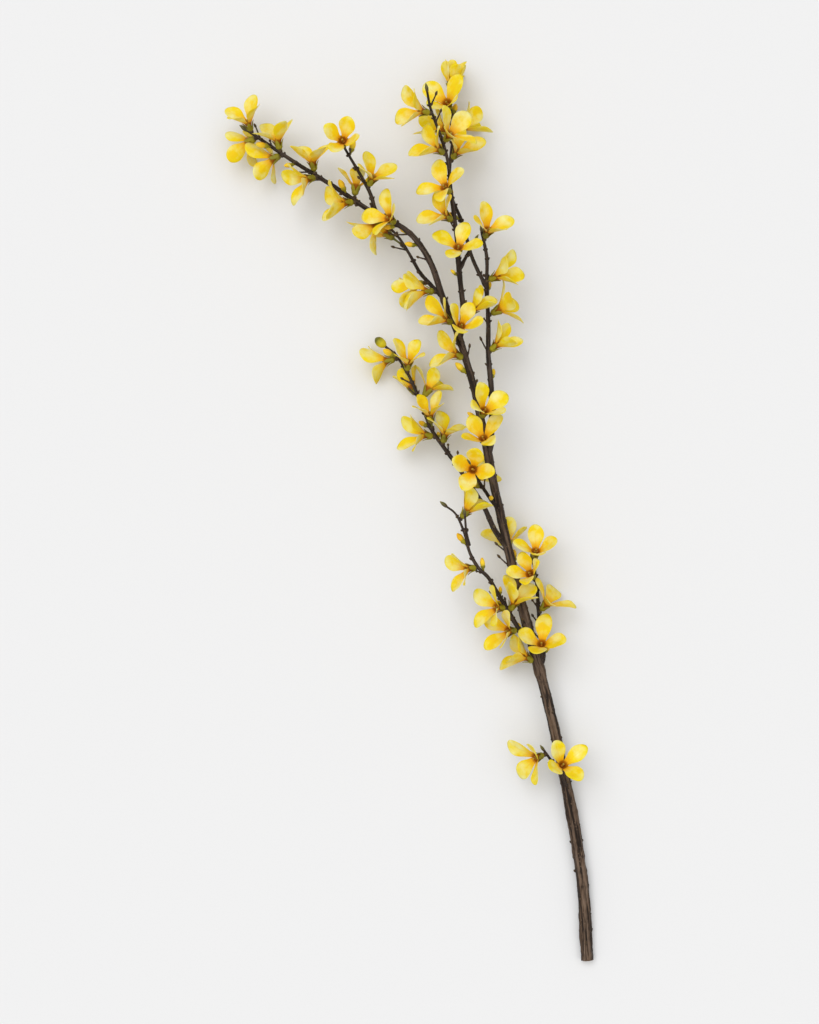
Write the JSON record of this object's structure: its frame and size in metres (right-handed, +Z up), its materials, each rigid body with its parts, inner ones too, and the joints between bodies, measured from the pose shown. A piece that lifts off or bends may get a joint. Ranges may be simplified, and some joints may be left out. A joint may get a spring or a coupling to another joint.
{
  "type": "forsythia branch",
  "caption": "Cut branch of forsythia lying on its side: arching dark stem with forks and twigs, bare of leaves, set with open four-petalled yellow flowers.",
  "frame": {"origin": "middle of the branch's bounding box, at the table it lies on", "axes": "+Y along the branch from the cut end towards the tips, +X to the right seen from above with the tips away, +Z up from the table"},
  "size_m": [0.2193, 0.5355, 0.0692],
  "materials": {
    "bark": "grey-brown to near-black bark, matt, with green calyces and buds",
    "petals": "soft matt yellow, thin and slightly translucent"
  },
  "bodies": {
    "root": {"wood": "bark", "bloom_01": "petals", "bloom_02": "petals", "bloom_03": "petals", "bloom_04": "petals", "bloom_05": "petals", "bloom_06": "petals", "bloom_07": "petals", "bloom_08": "petals", "bloom_09": "petals", "bloom_10": "petals", "bloom_11": "petals", "bloom_12": "petals", "bloom_13": "petals", "bloom_14": "petals", "bloom_15": "petals", "bloom_16": "petals", "bloom_17": "petals", "bloom_18": "petals", "bloom_19": "petals", "bloom_20": "petals", "bloom_21": "petals", "bloom_22": "petals", "bloom_23": "petals", "bloom_24": "petals", "bloom_25": "petals", "bloom_26": "petals", "bloom_27": "petals", "bloom_28": "petals", "bloom_29": "petals", "bloom_30": "petals", "bloom_31": "petals", "bloom_32": "petals", "bloom_33": "petals", "bloom_34": "petals", "bloom_35": "petals", "bloom_36": "petals", "bloom_37": "petals", "bloom_38": "petals", "bloom_39": "petals", "bloom_40": "petals", "bloom_41": "petals", "bloom_42": "petals", "bloom_43": "petals", "bloom_44": "petals", "bloom_45": "petals", "bloom_46": "petals", "bloom_47": "petals", "bloom_48": "petals", "bloom_49": "petals", "bloom_50": "petals", "bloom_51": "petals", "bloom_52": "petals", "bloom_53": "petals", "bloom_54": "petals", "bloom_55": "petals", "bloom_56": "petals", "bloom_57": "petals", "bloom_58": "petals", "bloom_59": "petals"}
  },
  "joints": []
}
